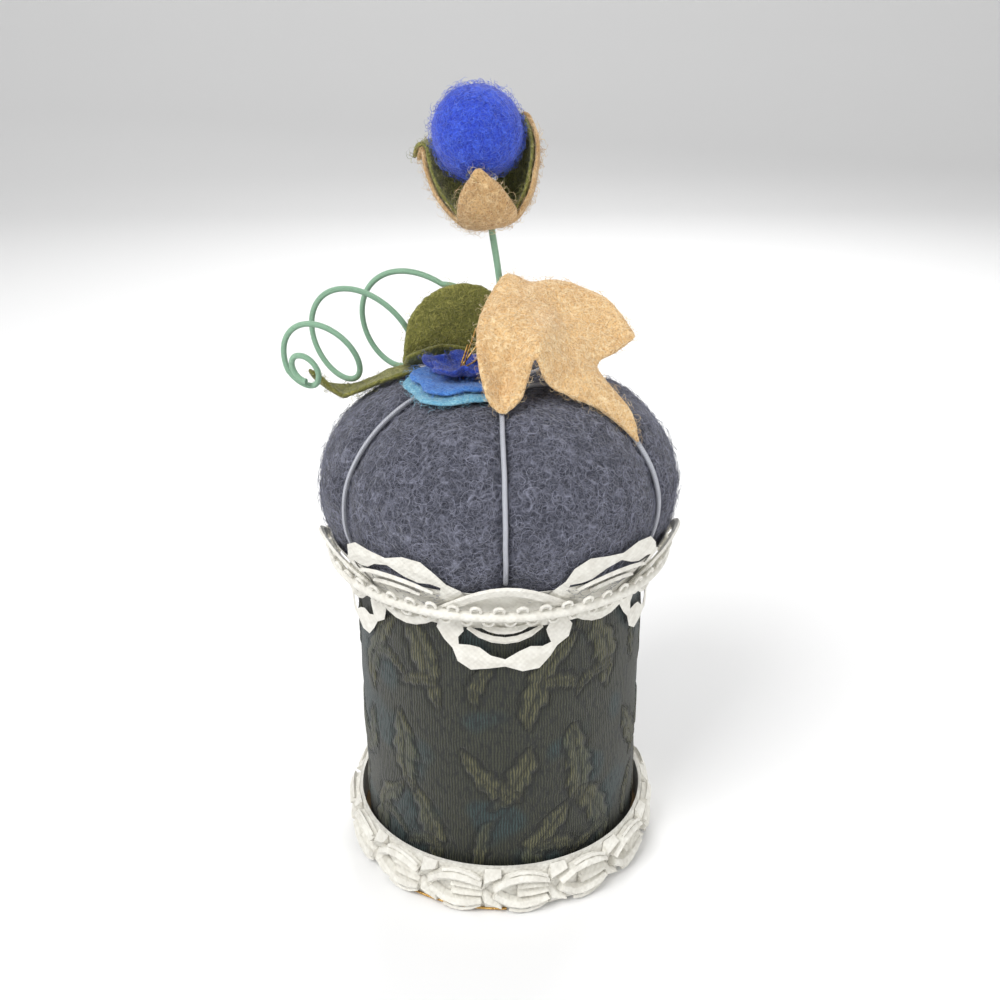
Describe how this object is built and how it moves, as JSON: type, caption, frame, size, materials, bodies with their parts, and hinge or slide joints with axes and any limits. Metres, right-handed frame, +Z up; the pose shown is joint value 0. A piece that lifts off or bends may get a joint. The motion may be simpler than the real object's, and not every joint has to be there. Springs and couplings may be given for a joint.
{
  "type": "pincushion",
  "caption": "Tall pincushion: creased felt cushion on a brocade-covered drum with lace and braid, topped by a felt flower, leaves, wire tendril and stemmed bud.",
  "frame": {"origin": "centre of the drum at the underside of the felt base pad, on the table", "axes": "+Z up along the drum, -Y towards the side that the picture shows, +X to that side's right"},
  "size_m": [0.093, 0.0868, 0.1867],
  "materials": {
    "black_felt": "matt felt",
    "card": "grey-brown pressed card",
    "grit": "bag of grit",
    "wadding": "white wadding",
    "brocade": "dark green and black woven brocade",
    "charcoal_felt": "charcoal needle felt with grey fibres",
    "grey_thread": "grey pearl cotton",
    "mauve_ribbon": "brown-pink satin ribbon",
    "beige_lace": "woven beige leaf braid",
    "striped_gimp": "white gimp with black bars",
    "cream_gimp": "ribbed cream gimp",
    "white_cord": "soft white cord",
    "pink_picot": "pale pink picot loops",
    "brown_tape": "woven brown tape",
    "blue_satin": "blue satin padding",
    "bronze_mesh": "bronze metallic mesh braid",
    "gold_beads": "beaded metal edging",
    "gold_thread": "gold metallic thread",
    "aqua_felt": "aqua wet felt",
    "blue_felt": "mid-blue wet felt",
    "navy_felt": "navy wet felt",
    "green_felt": "olive green needle felt",
    "tan_felt": "tan needle felt",
    "bud_felt": "royal blue felt ball",
    "steel_wire": "bare florist wire",
    "sage_thread": "sage green thread, wound close"
  },
  "bodies": {
    "root": {"base_pad": "black_felt", "base_disc": "card", "core_tube": "card", "ballast": "grit", "tube_packing": "wadding", "tube_lid": "card", "brocade_sleeve": "brocade", "cushion_stuffing": "wadding", "cushion_cover": "charcoal_felt", "crease_threads": "grey_thread", "centre_tie": "grey_thread", "neck_ribbon": "mauve_ribbon", "neck_leaf_chain": "beige_lace", "neck_striped_gimp": "striped_gimp", "neck_ribbed_crescents": "cream_gimp", "neck_white_cord": "white_cord", "neck_picots": "pink_picot", "foot_tape": "brown_tape", "foot_blue_chevrons": "blue_satin", "foot_bronze_chevrons": "bronze_mesh", "foot_bead_edges": "gold_beads", "foot_gold_edge": "gold_thread", "flower_aqua_petals": "aqua_felt", "flower_blue_petals": "blue_felt", "flower_navy_petals": "navy_felt", "flower_stamens": "gold_thread", "green_leaf_upright": "green_felt", "green_leaf_lying": "green_felt", "tan_leaf": "tan_felt", "bud_ball": "bud_felt", "calyx_inner": "green_felt", "calyx_outer": "tan_felt", "stem_wire": "steel_wire", "stem_wrap": "sage_thread", "tendril_wire": "steel_wire", "tendril_wrap": "sage_thread"}
  },
  "joints": []
}
